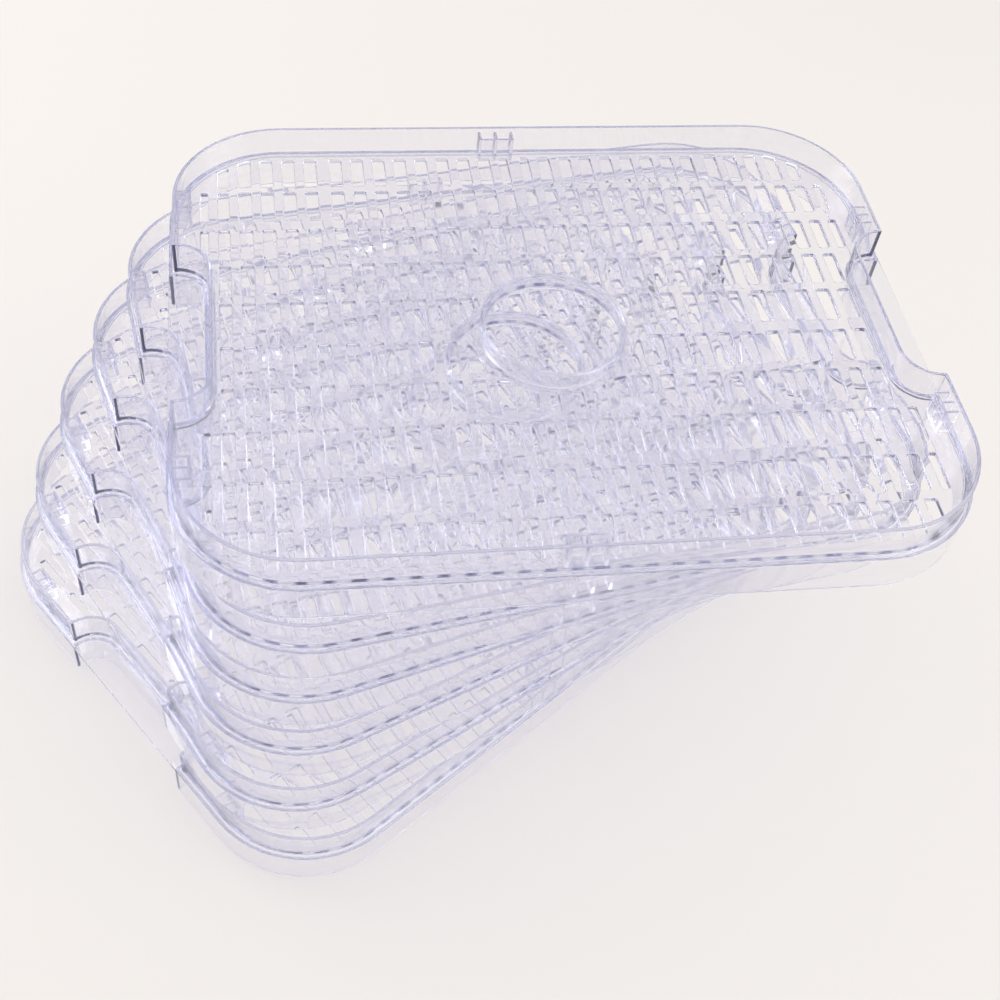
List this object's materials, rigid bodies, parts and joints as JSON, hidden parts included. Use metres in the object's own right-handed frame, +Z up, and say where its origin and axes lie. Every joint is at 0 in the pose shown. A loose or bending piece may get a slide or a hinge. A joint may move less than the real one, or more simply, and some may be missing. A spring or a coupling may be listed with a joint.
{
  "type": "food dehydrator tray stack",
  "caption": "Fanned stack of clear plastic drying trays, each with a slotted floor, round air collar, low wall, stacking skirt and a finger notch at each end.",
  "frame": {"origin": "middle of the fanned stack's box, on the surface that the lowest tray stands on", "axes": "+X along the top tray's long side, to the right seen from the front; +Y to the back; +Z up"},
  "size_m": [0.4248, 0.3662, 0.2079],
  "materials": {
    "clear_plastic": "clear, polished, faint blue tint"
  },
  "bodies": {
    "tray_1": {"tray_1_sides": "clear_plastic", "tray_1_ends": "clear_plastic", "tray_1_corners": "clear_plastic", "tray_1_floor": "clear_plastic", "tray_1_collar": "clear_plastic", "tray_1_posts": "clear_plastic"},
    "tray_2": {"tray_2_sides": "clear_plastic", "tray_2_ends": "clear_plastic", "tray_2_corners": "clear_plastic", "tray_2_floor": "clear_plastic", "tray_2_collar": "clear_plastic", "tray_2_posts": "clear_plastic"},
    "tray_3": {"tray_3_sides": "clear_plastic", "tray_3_ends": "clear_plastic", "tray_3_corners": "clear_plastic", "tray_3_floor": "clear_plastic", "tray_3_collar": "clear_plastic", "tray_3_posts": "clear_plastic"},
    "tray_4": {"tray_4_sides": "clear_plastic", "tray_4_ends": "clear_plastic", "tray_4_corners": "clear_plastic", "tray_4_floor": "clear_plastic", "tray_4_collar": "clear_plastic", "tray_4_posts": "clear_plastic"},
    "tray_5": {"tray_5_sides": "clear_plastic", "tray_5_ends": "clear_plastic", "tray_5_corners": "clear_plastic", "tray_5_floor": "clear_plastic", "tray_5_collar": "clear_plastic", "tray_5_posts": "clear_plastic"},
    "tray_6": {"tray_6_sides": "clear_plastic", "tray_6_ends": "clear_plastic", "tray_6_corners": "clear_plastic", "tray_6_floor": "clear_plastic", "tray_6_collar": "clear_plastic", "tray_6_posts": "clear_plastic"}
  },
  "joints": [
    {"name": "lift_tray_5", "type": "slide", "parent": "tray_6", "child": "tray_5", "axis": [0, 0, 1], "range_m": [0, 0.04]},
    {"name": "lift_tray_4", "type": "slide", "parent": "tray_5", "child": "tray_4", "axis": [0, 0, 1], "range_m": [0, 0.04]},
    {"name": "lift_tray_3", "type": "slide", "parent": "tray_4", "child": "tray_3", "axis": [0, 0, 1], "range_m": [0, 0.04]},
    {"name": "lift_tray_2", "type": "slide", "parent": "tray_3", "child": "tray_2", "axis": [0, 0, 1], "range_m": [0, 0.04]},
    {"name": "lift_tray_1", "type": "slide", "parent": "tray_2", "child": "tray_1", "axis": [0, 0, 1], "range_m": [0, 0.04]}
  ]
}
